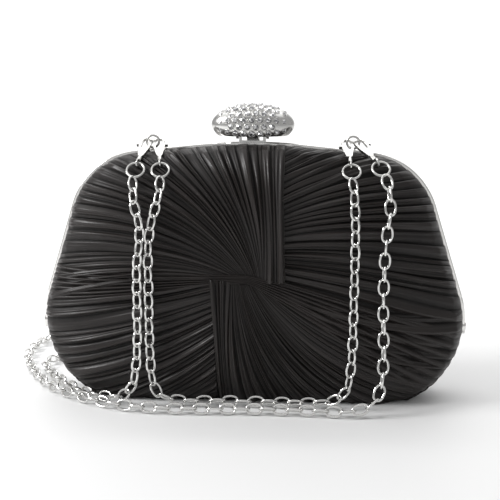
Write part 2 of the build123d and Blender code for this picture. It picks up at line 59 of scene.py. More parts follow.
def mesh_piece(name, points, faces, smooth=True):
    """A mesh object from points and faces."""
    mesh = bpy.data.meshes.new(name)
    mesh.from_pydata([tuple(point) for point in points], [], [tuple(face) for face in faces])
    mesh.update()
    mesh.polygons.foreach_set("use_smooth", [smooth] * len(mesh.polygons))
    piece = bpy.data.objects.new(name, mesh)
    scene.collection.objects.link(piece)
    return piece


def grid_faces(rows, columns, closed_columns=False):
    """Quads of a grid whose points run along the columns first."""
    last = columns if closed_columns else columns - 1
    return [
        (
            r * columns + c, r * columns + (c + 1) % columns,
            (r + 1) * columns + (c + 1) % columns, (r + 1) * columns + c,
        )
        for r in range(rows - 1)
        for c in range(last)
    ]


def new_material(name, color, roughness, metallic=0.0):
    """A Principled material and its node tree."""
    material = bpy.data.materials.new(name)
    material.use_nodes = True
    shader = material.node_tree.nodes["Principled BSDF"]
    shader.inputs["Base Color"].default_value = (*color, 1)
    shader.inputs["Roughness"].default_value = roughness
    shader.inputs["Metallic"].default_value = metallic
    return material, material.node_tree, shader


def noise(tree, scale, detail=3.0, stretch=(1, 1, 1)):
    """Noise over the object's own space, stretched along an axis if wanted."""
    place = tree.nodes.new("ShaderNodeTexCoord")
    mapping = tree.nodes.new("ShaderNodeMapping")
    texture = tree.nodes.new("ShaderNodeTexNoise")
    mapping.inputs["Scale"].default_value = stretch
    texture.inputs["Scale"].default_value = scale
    texture.inputs["Detail"].default_value = detail
    tree.links.new(place.outputs["Object"], mapping.inputs["Vector"])
    tree.links.new(mapping.outputs["Vector"], texture.inputs["Vector"])
    return texture.outputs["Fac"]


table_material, table_tree, table_shader = new_material("white_table", (0.80, 0.80, 0.80), 0.55)
tone = table_tree.nodes.new("ShaderNodeMix")
tone.data_type = "RGBA"
tone.inputs["A"].default_value = (0.79, 0.79, 0.79, 1)
tone.inputs["B"].default_value = (0.81, 0.81, 0.81, 1)
table_tree.links.new(noise(table_tree, 6.0), tone.inputs["Factor"])
table_tree.links.new(tone.outputs["Result"], table_shader.inputs["Base Color"])
BEND_START = 1.2
BEND_RADIUS = 0.8
sweep = [(-6.0, 0.0), (BEND_START, 0.0)]
sweep += [
    (BEND_START + BEND_RADIUS * sin(a * pi / 24), BEND_RADIUS - BEND_RADIUS * cos(a * pi / 24))
    for a in range(1, 13)
]
sweep += [(BEND_START + BEND_RADIUS, 4.0)]
table = mesh_piece(
    "table", [(x, y, z) for y, z in sweep for x in (-4.0, 4.0)], grid_faces(len(sweep), 2)
)
table.data.materials.append(table_material)

world = bpy.data.worlds.new("room")
scene.world = world
world.use_nodes = True
world.node_tree.nodes["Background"].inputs["Color"].default_value = (1, 1, 1, 1)
world.node_tree.nodes["Background"].inputs["Strength"].default_value = 0.44


def area_light(name, place, aim, size, power):
    """Soft square light aimed at a point."""
    light = bpy.data.lights.new(name, "AREA")
    light.shape = "SQUARE"
    light.size = size
    light.energy = power
    lamp = bpy.data.objects.new(name, light)
    lamp.location = place
    lamp.rotation_euler = (Vector(aim) - Vector(place)).to_track_quat("-Z", "Y").to_euler()
    scene.collection.objects.link(lamp)


area_light("key", (-0.85, -0.28, 0.62), (0, 0, 0.06), 0.35, 9.0)
area_light("overhead", (-0.10, 0.30, 1.50), (0, 0.05, 0), 2.2, 12.5)
area_light("back_wall", (0, 0.7, 1.5), (0, 1.9, 0.7), 1.4, 25.0)
scene.view_settings.view_transform = "Standard"

camera_data = bpy.data.cameras.new("camera")
camera = bpy.data.objects.new("camera", camera_data)
scene.collection.objects.link(camera)
scene.camera = camera
camera_data.lens = 84.4
camera_data.sensor_width = 36.0
camera_data.shift_x = -0.006
camera_distance = 0.600
camera_azimuth = radians(4.0)
camera_height = 0.1875
camera_pitch = radians(10.5)
camera.location = (
    camera_distance * sin(camera_azimuth), -camera_distance * cos(camera_azimuth), camera_height
)
camera.rotation_euler = (pi / 2 - camera_pitch, 0, camera_azimuth)

# ---- Front satin: four gathered panels and the band that makes the knot ----
# Black satin is laid in knife pleats over the moulded half. Two fans lie over two plainer panels,
# and one bundle of pleats crosses the middle over everything, pulled tight like a knot.
BASE_HALF_WIDTH = 0.124
SHOULDER_HALF_WIDTH = 0.0845
SHOULDER_HEIGHT = 0.124
CROWN_HEIGHT = 0.1326
BASE_SINK = 0.003
BASE_RADIUS = 0.044
SHOULDER_RADIUS = 0.038
CROWN_RADIUS = 0.260
PANEL_DEPTH = 0.027
RIM_DEPTH = 0.0042
HINGE_HEIGHT = 0.038
BASE_GAP = 0.0105
MIDDLE_HEIGHT = (CROWN_HEIGHT - BASE_SINK) / 2
CLEARANCE = 0.0002
RIM_SHARE = 0.05
RIM_PLEATS = 0.22
PLEAT_SAMPLES = 14
DEEPEST_PLEAT = 0.0024
rng = np.random.default_rng(7)


def support_lines():
    """Normals and distances of lines that touch the bag's rounded outline, about its middle."""
    corners = np.array([
        (-BASE_HALF_WIDTH, -BASE_SINK), (BASE_HALF_WIDTH, -BASE_SINK),
        (SHOULDER_HALF_WIDTH, SHOULDER_HEIGHT), (0, CROWN_HEIGHT),
        (-SHOULDER_HALF_WIDTH, SHOULDER_HEIGHT),
    ]) - (0, MIDDLE_HEIGHT)
    rounds = [BASE_RADIUS, BASE_RADIUS, SHOULDER_RADIUS, CROWN_RADIUS, SHOULDER_RADIUS]
    normals, distances = [], []
    for index, radius in enumerate(rounds):
        corner = corners[index]
        before = corner - corners[index - 1]
        after = corners[(index + 1) % len(corners)] - corner
        first, last = (np.array((side[1], -side[0])) / np.hypot(*side) for side in (before, after))
        start = np.arctan2(first[1], first[0])
        turn = (np.arctan2(last[1], last[0]) - start + pi) % (2 * pi) - pi
        middle = (first + last) / np.hypot(*(first + last))
        centre = corner - middle * radius / cos(turn / 2)
        for angle in start + turn * np.linspace(0, 1, 26):
            normal = np.array((cos(angle), sin(angle)))
            normals.append(normal)
            distances.append(normal @ centre + radius)
    return np.array(normals), np.array(distances)


edge_normals, edge_distances = support_lines()


def share_of(points):
    """How far out points lie on the panel, 1 at its outline, and the outline's slope there."""
    ratios = (points - (0, MIDDLE_HEIGHT)) @ edge_normals.T / edge_distances
    nearest = ratios.argmax(axis=-1)
    share = np.take_along_axis(ratios, nearest[..., None], -1)[..., 0]
    return share, edge_normals[nearest] / edge_distances[nearest][..., None]


def dome(points, lift, side=-1, inset=0.0):
    """Points of the panel raised onto the dome and off it; side is -1 in front, 1 behind."""
    share, slope = share_of(points)
    over = np.maximum(share, 1.0)[..., None]
    points = (points - (0, MIDDLE_HEIGHT)) / over + (0, MIDDLE_HEIGHT)
    share = np.minimum(share, 1.0)
    height = PANEL_DEPTH - RIM_DEPTH - inset
    depth = RIM_DEPTH + height * np.sqrt(np.maximum(0.0, 1 - share**4))
    across = 4 * share[..., None] ** 3 * slope
    out = -2 * (depth - RIM_DEPTH) / height**2
    normal = np.stack([across[..., 0], side * -out, across[..., 1]], -1)
    normal /= np.linalg.norm(normal, axis=-1, keepdims=True)
    solid = np.stack([points[..., 0], side * depth, points[..., 1]], -1) + normal * lift[..., None]
    solid[..., 2] = np.maximum(solid[..., 2], CLEARANCE)
    gap = np.maximum(0.0, HINGE_HEIGHT - solid[..., 2]) * BASE_GAP / HINGE_HEIGHT + CLEARANCE
    solid[..., 1] = side * np.maximum(side * solid[..., 1], gap)
    return solid


def edge_run(start, end, count):
    """Evenly spaced points along the outline between two angles about its middle, in degrees."""
    angles = np.radians(np.linspace(start, end, 400))
    rays = np.stack([np.cos(angles), np.sin(angles)], -1)
    reach = (rays @ edge_normals.T / edge_distances).max(axis=-1)
    return even_run(rays / reach[:, None] + (0, MIDDLE_HEIGHT), count)


def even_run(points, count):
    """Evenly spaced points along straight runs."""
    points = np.asarray(points, float)
    lengths = np.concatenate([[0], np.cumsum(np.hypot(*np.diff(points, axis=0).T))])
    places = np.linspace(0, lengths[-1], count)
    return np.stack([np.interp(places, lengths, points[:, axis]) for axis in (0, 1)], -1)


def pleat_shares(count, unevenness):
    """Where pleats begin across a panel, 0 to 1, as uneven as hand-laid ones."""
    widths = 1 + unevenness * rng.uniform(-1, 1, count)
    return np.concatenate([[0], np.cumsum(widths)]) / widths.sum()


def cloth_piece(name, solid, crest, side=-1):
    """A grid of points as cloth that faces outwards, with how near each is to a pleat's crest, for the
    painted shade in the creases.
    """
    piece = mesh_piece(name, solid.reshape(-1, 3), grid_faces(*solid.shape[:2]))
    crease_shade = piece.data.attributes.new("crease_shade", "FLOAT", "POINT")
    crease_shade.data.foreach_set("value", np.clip(crest, 0, 1).astype(np.float32).ravel())
    facing = sum(face.normal.y * face.area for face in piece.data.polygons)
    if facing * side < 0:
        piece.data.flip_normals()
    return piece


def pleated(name, starts, ends, pleats, bow, lift, side=-1, rows=96, both_edges=False, crease=0.62):
    """A panel of knife pleats from the starts to the ends, bowed sideways and lifted off the dome."""
    begins = pleat_shares(pleats, 0.6)
    across = np.concatenate([
        begins[k] + (begins[k + 1] - begins[k]) * np.arange(PLEAT_SAMPLES) / PLEAT_SAMPLES
        for k in range(pleats)
    ] + [[1.0]])
    index = np.minimum(np.arange(len(across)) // PLEAT_SAMPLES, pleats - 1)
    within = np.clip((across - begins[index]) / (begins[index + 1] - begins[index]), 0, 1)
    along = np.linspace(0, 1, rows)
    along = (1 - np.cos(pi * along)) / 2 if both_edges else 1 - (1 - along) ** 2

    def each(low, high):
        """A random value for each pleat."""
        return rng.uniform(low, high, pleats)[index]

    wander = 0.10 * np.sin(along[:, None] * each(2, 6) + each(0, 6))
    wander *= (begins[index + 1] - begins[index]) * np.sin(pi * along)[:, None]
    place = np.clip(across + wander, 0, 1)
    grid = np.linspace(0, 1, len(starts))
    first = np.stack([np.interp(place, grid, starts[:, axis]) for axis in (0, 1)], -1)
    last = np.stack([np.interp(place, grid, ends[:, axis]) for axis in (0, 1)], -1)
    run = last - first
    sideways = np.stack([-run[..., 1], run[..., 0]], -1)
    bend = bow(place)[..., None] * (4 * along * (1 - along))[:, None, None]
    points = first + run * along[:, None, None] + sideways * bend
    reach = 3
    left = points[:, np.maximum(np.arange(len(across)) - reach, 0)]
    right = points[:, np.minimum(np.arange(len(across)) + reach, len(across) - 1)]
    width = np.hypot(*np.moveaxis(right - left, -1, 0)) * PLEAT_SAMPLES / (2 * reach)
    lean = within ** each(0.7, 1.6)
    ridge = np.abs(np.sin(pi * lean)) ** 0.75
    knife = within ** each(0.6, 1.3) * np.clip((1 - within) / 0.16, 0, 1) ** 0.6
    fine = sum(
        each(0.05, 0.16)
        * np.sin(2 * pi * (each(1.4, 3.4) * within + each(-0.8, 0.8) * along[:, None] + each(0, 1)))
        for _ in range(2)
    ) * np.abs(np.sin(pi * within)) ** 0.5
    swell = 1 + 0.28 * np.sin(along[:, None] * each(3, 9) + each(0, 6))
    depth = np.minimum(crease * width, DEEPEST_PLEAT)
    profile = 0.5 * ridge + 0.6 * knife + fine
    height = depth * profile * swell * each(0.5, 1.2)
    share, _ = share_of(points)
    rim = np.clip((1 - share) / RIM_SHARE, 0, 1)
    height *= RIM_PLEATS + (1 - RIM_PLEATS) * rim
    lifted = lift(place) * rim + height
    # The crest values go with the cloth to paint shade into the satin's creases.
    return cloth_piece(name, dome(points, lifted, side), profile * swell, side)


def spread(tree, value, low, high):
    """A 0 to 1 value mapped to a range, for a socket that varies over the surface."""
    node = tree.nodes.new("ShaderNodeMapRange")
    node.inputs["From Min"].default_value = 0.3
    node.inputs["From Max"].default_value = 0.7
    node.inputs["To Min"].default_value = low
    node.inputs["To Max"].default_value = high
    tree.links.new(value, node.inputs["Value"])
    return node.outputs["Result"]


def bump(tree, shader, height, distance, strength=1.0):
    """Surface relief from a height."""
    node = tree.nodes.new("ShaderNodeBump")
    node.inputs["Strength"].default_value = strength
    node.inputs["Distance"].default_value = distance
    tree.links.new(height, node.inputs["Height"])
    tree.links.new(node.outputs["Normal"], shader.inputs["Normal"])


def satin(name, color, sheen):
    """Dense satin: a fine weave, a soft broad gloss, a little uneven sheen and painted shade in the creases
    of its pleats.
    """
    material, tree, shader = new_material(name, color, 0.36)
    shader.inputs["Sheen Weight"].default_value = sheen
    shader.inputs["Sheen Roughness"].default_value = 0.35
    shader.inputs["Sheen Tint"].default_value = (0.9, 0.85, 0.8, 1)
    shader.inputs["Anisotropic"].default_value = 0.35
    cloudy = noise(tree, 55.0, 4.0)
    shade = tree.nodes.new("ShaderNodeMix")
    shade.data_type = "RGBA"
    shade.inputs["A"].default_value = (*[value * 0.75 for value in color], 1)
    shade.inputs["B"].default_value = (*[value * 1.25 for value in color], 1)
    tree.links.new(cloudy, shade.inputs["Factor"])
    # Painted shade: where the crest value is low, in the creases of the pleats, the colour darkens to about
    # an eighth and the gloss dulls.
    crease_shade = tree.nodes.new("ShaderNodeAttribute")
    crease_shade.attribute_name = "crease_shade"
    depth = tree.nodes.new("ShaderNodeMix")
    depth.data_type = "RGBA"
    depth.inputs["A"].default_value = (*[value * 0.12 for value in color], 1)
    tree.links.new(crease_shade.outputs["Fac"], depth.inputs["Factor"])
    tree.links.new(shade.outputs["Result"], depth.inputs["B"])
    tree.links.new(depth.outputs["Result"], shader.inputs["Base Color"])
    dull = tree.nodes.new("ShaderNodeMapRange")
    dull.inputs["From Max"].default_value = 0.9
    dull.inputs["To Min"].default_value = 0.40
    dull.inputs["To Max"].default_value = 0.0
    total = tree.nodes.new("ShaderNodeMath")
    total.operation = "ADD"
    tree.links.new(crease_shade.outputs["Fac"], dull.inputs["Value"])
    tree.links.new(dull.outputs["Result"], total.inputs[0])
    tree.links.new(spread(tree, noise(tree, 240.0, 2.0), 0.30, 0.42), total.inputs[1])
    tree.links.new(total.outputs["Value"], shader.inputs["Roughness"])
    shader.inputs["Specular IOR Level"].default_value = 0.34
    weave = noise(tree, 2600.0, 1.0, (1, 1, 0.25))
    bump(tree, shader, weave, 0.00006, 0.5)
    return material


satin_material = satin("black_satin", (0.017, 0.0135, 0.0125), 0.07)
KNOT = (-0.0015, 0.0665)
UPPER_FOLD = 0.018
LOWER_FOLD = -0.020
UNDER_LIFT = 0.0002


def fan_lift(u):
    """How far a fan stands off the dome: more towards its folded edge."""
    return 0.0008 + 0.0006 * u * u


def finish_cloth(piece, body, node=None, thickness=0.0003):
    """Give a satin piece its thickness, finish and body."""
    piece.data.materials.append(satin_material)
    solidify = piece.modifiers.new("thickness", "SOLIDIFY")
    solidify.thickness = thickness
    solidify.offset = -1
    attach(piece, body)
    if node:
        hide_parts(*node)


upper_right = pleated(
    "satin_upper_right_panel",
    even_run([(UPPER_FOLD - 0.003, KNOT[1] - 0.003), (UPPER_FOLD - 0.003, 0.130)], 90),
    edge_run(-17, 76.5, 90),
    27, bow=lambda u: 0.05 * np.sin(pi * u), lift=lambda u: UNDER_LIFT,
)
lower_left = pleated(
    "satin_lower_left_panel",
    even_run([(LOWER_FOLD + 0.003, KNOT[1]), (LOWER_FOLD + 0.003, 0.0015)], 90),
    edge_run(187, 253.5, 90),
    24, bow=lambda u: 0.05 * np.sin(pi * u), lift=lambda u: UNDER_LIFT,
)
upper_left = pleated(
    "satin_upper_left_fan",
    np.concatenate([
        even_run([(-0.0040, KNOT[1] - 0.0012), (0.0070, KNOT[1] - 0.0022)], 88),
        even_run([(0.0072, KNOT[1] - 0.0022), (UPPER_FOLD, KNOT[1] - 0.0012)], 13),
    ]),
    np.concatenate([edge_run(188.5, 88, 88), edge_run(87.8, 75.4, 13)]),
    35, bow=lambda u: -(0.06 + 0.06 * np.sin(pi * u)) * (1 - u**3), lift=fan_lift,
)
lower_right = pleated(
    "satin_lower_right_fan",
    np.concatenate([
        even_run([(0.0080, KNOT[1] - 0.0030), (-0.0090, KNOT[1] - 0.0012)], 88),
        even_run([(-0.0092, KNOT[1] - 0.0012), (LOWER_FOLD, KNOT[1] - 0.0002)], 13),
    ]),
    np.concatenate([edge_run(-8, -97, 88), edge_run(-97.4, -103, 13)]),
    33, bow=lambda u: -(0.05 + 0.06 * np.sin(pi * u)) * (1 - u**3), lift=fan_lift,
)


def knot_band():
    """The bundle of pleats that crosses from the left edge to the right edge through the knot."""
    rows, pleats = 150, 7
    left_edge = edge_run(187.5, 177, 200)
    right_edge = edge_run(-35, -14, 200)
    across = np.linspace(0, 1, pleats * PLEAT_SAMPLES + 1)
    spots = np.linspace(0, 1, 200)
    first = np.stack([np.interp(across, spots, left_edge[:, axis]) for axis in (0, 1)], -1)
    last = np.stack([np.interp(across, spots, right_edge[:, axis]) for axis in (0, 1)], -1)
    along = (1 - np.cos(pi * np.linspace(0, 1, rows))) / 2
    waist = np.stack([np.full_like(across, KNOT[0]), KNOT[1] + 0.0042 * (across - 0.5)], -1)
    reach = np.abs(2 * along - 1)[:, None, None]
    outer = np.where((along < 0.5)[:, None, None], first, last)
    open_share = reach ** np.array([1.0, 1.12])
    points = waist + (outer - waist) * open_share
    index = np.minimum((across * pleats).astype(int), pleats - 1)
    within = np.clip(across * pleats - index, 0, 1)
    width = np.hypot(*(points[:, -1] - points[:, 0]).T)[:, None] / pleats
    crown = np.sqrt(np.maximum(0, 1 - (2 * across - 1) ** 2))
    near = np.exp(-((np.abs(2 * along - 1)) / 0.16) ** 2)[:, None]
    ridge = np.sin(pi * within ** rng.uniform(0.8, 1.4, pleats)[index]) ** 0.8
    height = np.minimum(0.7 * width, 0.0022) * ridge * rng.uniform(0.7, 1.15, pleats)[index]
    share, _ = share_of(points)
    rim = np.clip((1 - share) / RIM_SHARE, 0, 1)
    body = (0.0010 + 0.0012 * near) * crown**0.5 * rim
    lifted = body + height * (RIM_PLEATS + (1 - RIM_PLEATS) * rim)
    # The crest values go with the cloth to paint shade into the satin's creases.
    return cloth_piece("satin_knot_band", dome(points, lifted), np.broadcast_to(ridge, height.shape))


band = knot_band()
finish_cloth(upper_right, "front_half", ["satin_upper_right"])
finish_cloth(lower_left, "front_half", ["satin_lower_left"])
finish_cloth(upper_left, "front_half", ["satin_upper_left"])
finish_cloth(lower_right, "front_half", ["satin_lower_right"])
finish_cloth(band, "front_half", ["satin_knot"])

# ---- Back satin: one panel laid in soft upright gathers ----
# The back half is covered in a single piece of the same satin, gathered into the frame along
# the top and drawn down under the base.
back = pleated(
    "satin_back_panel", edge_run(171, 9, 200), edge_run(189, 351, 200), 46,
    bow=lambda u: 0.05 * (0.5 - u), lift=lambda u: 0.0003,
    side=1, rows=110, both_edges=True, crease=0.4,
)
finish_cloth(back, "back_half", ["back_satin"])

# ---- Frame: two nickel-plated halves, hinged at the sides ----
# Each half is a pressed steel channel plated with bright nickel. It grips the shell, the satin
# and the lining along its edge, and the two halves turn on a rivet at each end.
def metal(name, color, low, high, scratch=0.00002):
    """Plated metal: bright, with fine handling marks and a slightly uneven polish."""
    material, tree, shader = new_material(name, color, 0.15, 1.0)
    cloudy = noise(tree, 90.0, 4.0)
    tree.links.new(spread(tree, cloudy, low, high), shader.inputs["Roughness"])
    tint = tree.nodes.new("ShaderNodeMix")
    tint.data_type = "RGBA"
    tint.inputs["A"].default_value = (*[value * 0.90 for value in color], 1)
    tint.inputs["B"].default_value = (*[min(1.0, value * 1.06) for value in color], 1)
    tree.links.new(noise(tree, 35.0, 5.0), tint.inputs["Factor"])
    tree.links.new(tint.outputs["Result"], shader.inputs["Base Color"])
    bump(tree, shader, noise(tree, 900.0, 2.0, (1, 1, 0.2)), scratch, 0.35)
    return material


def finish_nodes(material, *names):
    """Give carried-over pieces a finish."""
    for name in names:
        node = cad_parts[name]
        if not node.data.materials:
            node.data.materials.append(material)
        for place in range(len(node.material_slots)):
            node.material_slots[place].link = "OBJECT"
            node.material_slots[place].material = material


frame_nickel = metal("frame_nickel", (0.88, 0.87, 0.85), 0.12, 0.26)
fitting_nickel = metal("fitting_nickel", (0.58, 0.575, 0.56), 0.20, 0.34)
chain_nickel = metal("chain_nickel", (0.78, 0.775, 0.76), 0.10, 0.22)
finish_nodes(frame_nickel, "front_frame", "back_frame", "hinge_rivets")

# ---- Lining and moulded halves ----
# Each half is moulded stiff plastic, covered outside with satin and lined inside with the same
# kind of black cloth, glued down.
# The lining uses the satin with its painted crease shade. Its pieces carry no crest values, so that shade
# darkens its colour all over.
lining_material = satin("black_lining", (0.016, 0.0145, 0.014), 0.05)
shell_material, shell_tree, shell_shader = new_material("moulded_plastic", (0.03, 0.03, 0.03), 0.5)
shell_polish = spread(shell_tree, noise(shell_tree, 120.0, 3.0), 0.42, 0.6)
shell_tree.links.new(shell_polish, shell_shader.inputs["Roughness"])
bump(shell_tree, shell_shader, noise(shell_tree, 700.0, 3.0), 0.00005, 0.5)
finish_nodes(lining_material, "front_lining", "back_lining")
finish_nodes(shell_material, "front_shell", "back_shell")

# ---- Gusset: the cloth fold that joins the halves under the hinges ----
# A strip of lining cloth closes the mouth below the hinges, folded inwards along its middle. It
# spreads when the bag opens.
GUSSET_INSET = 0.0060
GUSSET_TOP = 0.036


def gusset():
    """The folded strip, from one hinge round the base to the other."""
    path = edge_run(180, 360, 400)
    inward = np.array([0, MIDDLE_HEIGHT]) - path
    path = path + inward / np.hypot(*inward.T)[:, None] * GUSSET_INSET
    path = path[path[:, 1] < GUSSET_TOP]
    path[:, 1] = np.maximum(path[:, 1], 0.0011)
    across = np.linspace(-1, 1, 17)
    rows = []
    for x, z in path:
        half = (HINGE_HEIGHT - z) * BASE_GAP / HINGE_HEIGHT + 0.0008
        pull = 0.42 * half * (1 - np.abs(across)) ** 1.3 + 0.0003 * np.sin(1600 * x + 5 * across)
        toward = np.array([-x, MIDDLE_HEIGHT - z]) / np.hypot(x, MIDDLE_HEIGHT - z)
        rows.append(np.stack([x + toward[0] * pull, across * half, z + toward[1] * pull], -1))
    grid = np.array(rows)
    return mesh_piece("gusset_cloth", grid.reshape(-1, 3), grid_faces(*grid.shape[:2]))


gusset_piece = gusset()
gusset_piece.data.materials.append(lining_material)
gusset_thickness = gusset_piece.modifiers.new("thickness", "SOLIDIFY")
gusset_thickness.thickness = 0.0004
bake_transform(gusset_piece)
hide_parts("bottom_gusset")

# ---- Clasp: a rocking lever under a dome of crystal stones ----
# The dome is cast metal, plated and set with rows of round foil-backed stones. It rocks on a pin
# in the front half's bracket and snaps over a catch on the back half.
clasp_nickel = metal("clasp_nickel", (0.66, 0.655, 0.64), 0.16, 0.28)
finish_nodes(
    clasp_nickel, "clasp_bracket", "clasp_pivot_pin", "clasp_spring", "clasp_catch", "clasp_rocker"
)
stone_material, stone_tree, stone_shader = new_material(
    "crystal_stone", (0.92, 0.93, 0.95), 0.03, 0.9
)
stone_polish = spread(stone_tree, noise(stone_tree, 420.0, 1.0), 0.02, 0.10)
stone_tree.links.new(stone_polish, stone_shader.inputs["Roughness"])
# Painted flashes: the stones' colour swings in small random patches from dark grey to white, standing in for
# the light that foil-backed stones throw back.
flash = stone_tree.nodes.new("ShaderNodeMix")
flash.data_type = "RGBA"
flash.inputs["A"].default_value = (0.30, 0.30, 0.31, 1)
flash.inputs["B"].default_value = (1.0, 1.0, 1.0, 1)
stone_flash = spread(stone_tree, noise(stone_tree, 900.0, 0.0), 0.0, 1.0)
stone_tree.links.new(stone_flash, flash.inputs["Factor"])
stone_tree.links.new(flash.outputs["Result"], stone_shader.inputs["Base Color"])
dome_low, dome_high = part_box("clasp_dome")
DOME_HALF_LENGTH = (dome_high.x - dome_low.x) / 2
DOME_RADIUS = (dome_high.y - dome_low.y) / 2
DOME_AXIS = Vector((0, (dome_low.y + dome_high.y) / 2, dome_high.z - DOME_RADIUS))
DOME_MOUTH = dome_low.z
STONE_RADIUS = 0.00185
STONE_ROOM = 0.0007
STONE_PITCH = 0.0042
ROW_STEP = radians(20)
WELD = 0.00001


def dome_place(share, angle):
    """A place on the dome: share is -1 to 1 along its length, angle turns from the front."""
    radius = (DOME_RADIUS - STONE_ROOM) * sqrt(max(0.0, 1 - share * share))
    along = share * (DOME_HALF_LENGTH - STONE_ROOM)
    return DOME_AXIS + Vector((along, -radius * cos(angle), radius * sin(angle)))


def dome_shell():
    """The cast dome, hollow below, down to just over the frame."""
    rows, turns = 44, 72
    points = []
    for row in range(rows + 1):
        lean = -pi / 2 + pi * row / rows
        for turn in range(turns):
            place = dome_place(sin(lean), 2 * pi * turn / turns)
            place.z = max(place.z, DOME_MOUTH)
            points.append(place)
    piece = mesh_piece("clasp_dome_shell", points, grid_faces(rows + 1, turns, True))
    shape = bmesh.new()
    shape.from_mesh(piece.data)
    bmesh.ops.remove_doubles(shape, verts=shape.verts, dist=WELD)
    floor = [
        face for face in shape.faces
        if all(vert.co.z < DOME_MOUTH + WELD for vert in face.verts)
    ]
    bmesh.ops.delete(shape, geom=floor, context="FACES")
    bmesh.ops.recalc_face_normals(shape, faces=shape.faces)
    shape.to_mesh(piece.data)
    shape.free()
    thickness = piece.modifiers.new("thickness", "SOLIDIFY")
    thickness.thickness = 0.0011
    thickness.offset = -1
    return piece


def dome_stones():
    """Rows of round faceted stones, each in a bead-edged seat, packed over the dome."""
    stones, seats = bmesh.new(), bmesh.new()
    rows = [radians(value) for value in (-23, -3, 17, 37, 57, 77, 97, 117, 137, 157, 177, 197)]
    for number, angle in enumerate(rows):
        spots = [0.0] if number % 2 == 0 else []
        shares = np.linspace(0, 0.985, 400)
        lengths = np.concatenate([[0], np.cumsum([
            (dome_place(b, angle) - dome_place(a, angle)).length for a, b in zip(shares, shares[1:])
        ])])
        first = STONE_PITCH if number % 2 == 0 else STONE_PITCH / 2
        for step in range(12):
            at = first + STONE_PITCH * step
            if at > lengths[-1] - 0.0012:
                break
            share = float(np.interp(at, lengths, shares))
            room = sqrt(1 - share * share) * DOME_RADIUS * ROW_STEP
            if room < (0.0030 if number % 2 else 0.0017):
                continue
            spots += [share, -share]
        for share in spots:
            place = dome_place(share, angle)
            radial = Vector((0, -cos(angle), sin(angle)))
            slope = share / sqrt(max(0.02, 1 - share * share)) * DOME_RADIUS / DOME_HALF_LENGTH
            normal = (radial + Vector((slope, 0, 0))).normalized()
            crowd = min(1.0, sqrt(1 - share * share) * DOME_RADIUS * ROW_STEP / (2 * STONE_RADIUS))
            size = STONE_RADIUS * max(0.62, crowd)
            facing = normal.to_track_quat("Z", "Y").to_matrix()
            turn = facing @ Matrix.Rotation(rng.uniform(0, 1), 3, "Z")
            lean = Matrix.Rotation(rng.uniform(-0.10, 0.10), 3, "X")
            tilt = lean @ Matrix.Rotation(rng.uniform(-0.10, 0.10), 3, "Y")
            rings = ((1.0, -0.10, 8, 0), (0.94, 0.10, 8, 0), (0.72, 0.36, 8, 0.5), (0.42, 0.52, 8, 0))
            loops = []
            for width, rise, sides, shift in rings:
                loops.append([
                    stones.verts.new(place + turn @ (tilt @ Vector((
                        size * 0.86 * width * cos(2 * pi * (k + shift) / sides),
                        size * 0.86 * width * sin(2 * pi * (k + shift) / sides), size * rise,
                    )))) for k in range(sides)
                ])
            for lower, upper in zip(loops, loops[1:]):
                for k in range(8):
                    stones.faces.new((lower[k], lower[(k + 1) % 8], upper[k]))
                    stones.faces.new((lower[(k + 1) % 8], upper[(k + 1) % 8], upper[k]))
            stones.faces.new(loops[-1])
            seat_loops = []
            for width, rise in ((1.06, -0.25), (1.06, 0.08), (0.98, 0.16), (0.88, 0.08), (0.86, -0.2)):
                seat_loops.append([
                    seats.verts.new(place + turn @ Vector((
                        size * width * cos(2 * pi * k / 16), size * width * sin(2 * pi * k / 16), size * rise
                    ))) for k in range(16)
                ])
            for lower, upper in zip(seat_loops, seat_loops[1:]):
                for k in range(16):
                    seats.faces.new((lower[k], lower[(k + 1) % 16], upper[(k + 1) % 16], upper[k]))
    made = []
    for name, shape, smooth in (("clasp_stones_cut", stones, False), ("clasp_stone_seats", seats, True)):
        bmesh.ops.recalc_face_normals(shape, faces=shape.faces)
        mesh = bpy.data.meshes.new(name)
        shape.to_mesh(mesh)
        shape.free()
        mesh.polygons.foreach_set("use_smooth", [smooth] * len(mesh.polygons))
        piece = bpy.data.objects.new(name, mesh)
        scene.collection.objects.link(piece)
        made.append(piece)
    return made


shell = dome_shell()
stones, seats = dome_stones()
for piece, material, words in (
    (shell, clasp_nickel, "clasp_metal"), (stones, stone_material, "stones"),
    (seats, clasp_nickel, "clasp_metal"),
):
    piece.data.materials.append(material)
    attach(piece, "clasp")
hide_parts("clasp_dome")
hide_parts("clasp_stones")

# ---- Snap hooks: four swivel hooks on the frame's two loops ----
# Each is die-cast zinc, nickel plated, with a spring lever that turns on a pin, a swivel eye and
# a wire ring that takes the end of a chain.
SNAPS = ("long_left", "short_left", "short_right", "long_right")
finish_nodes(
    fitting_nickel, "chain_loop_left", "chain_loop_right", "lobster_pins",
    *[part + "_" + snap for part in ("lobster", "swivel", "jump_ring", "lever") for snap in SNAPS],
)

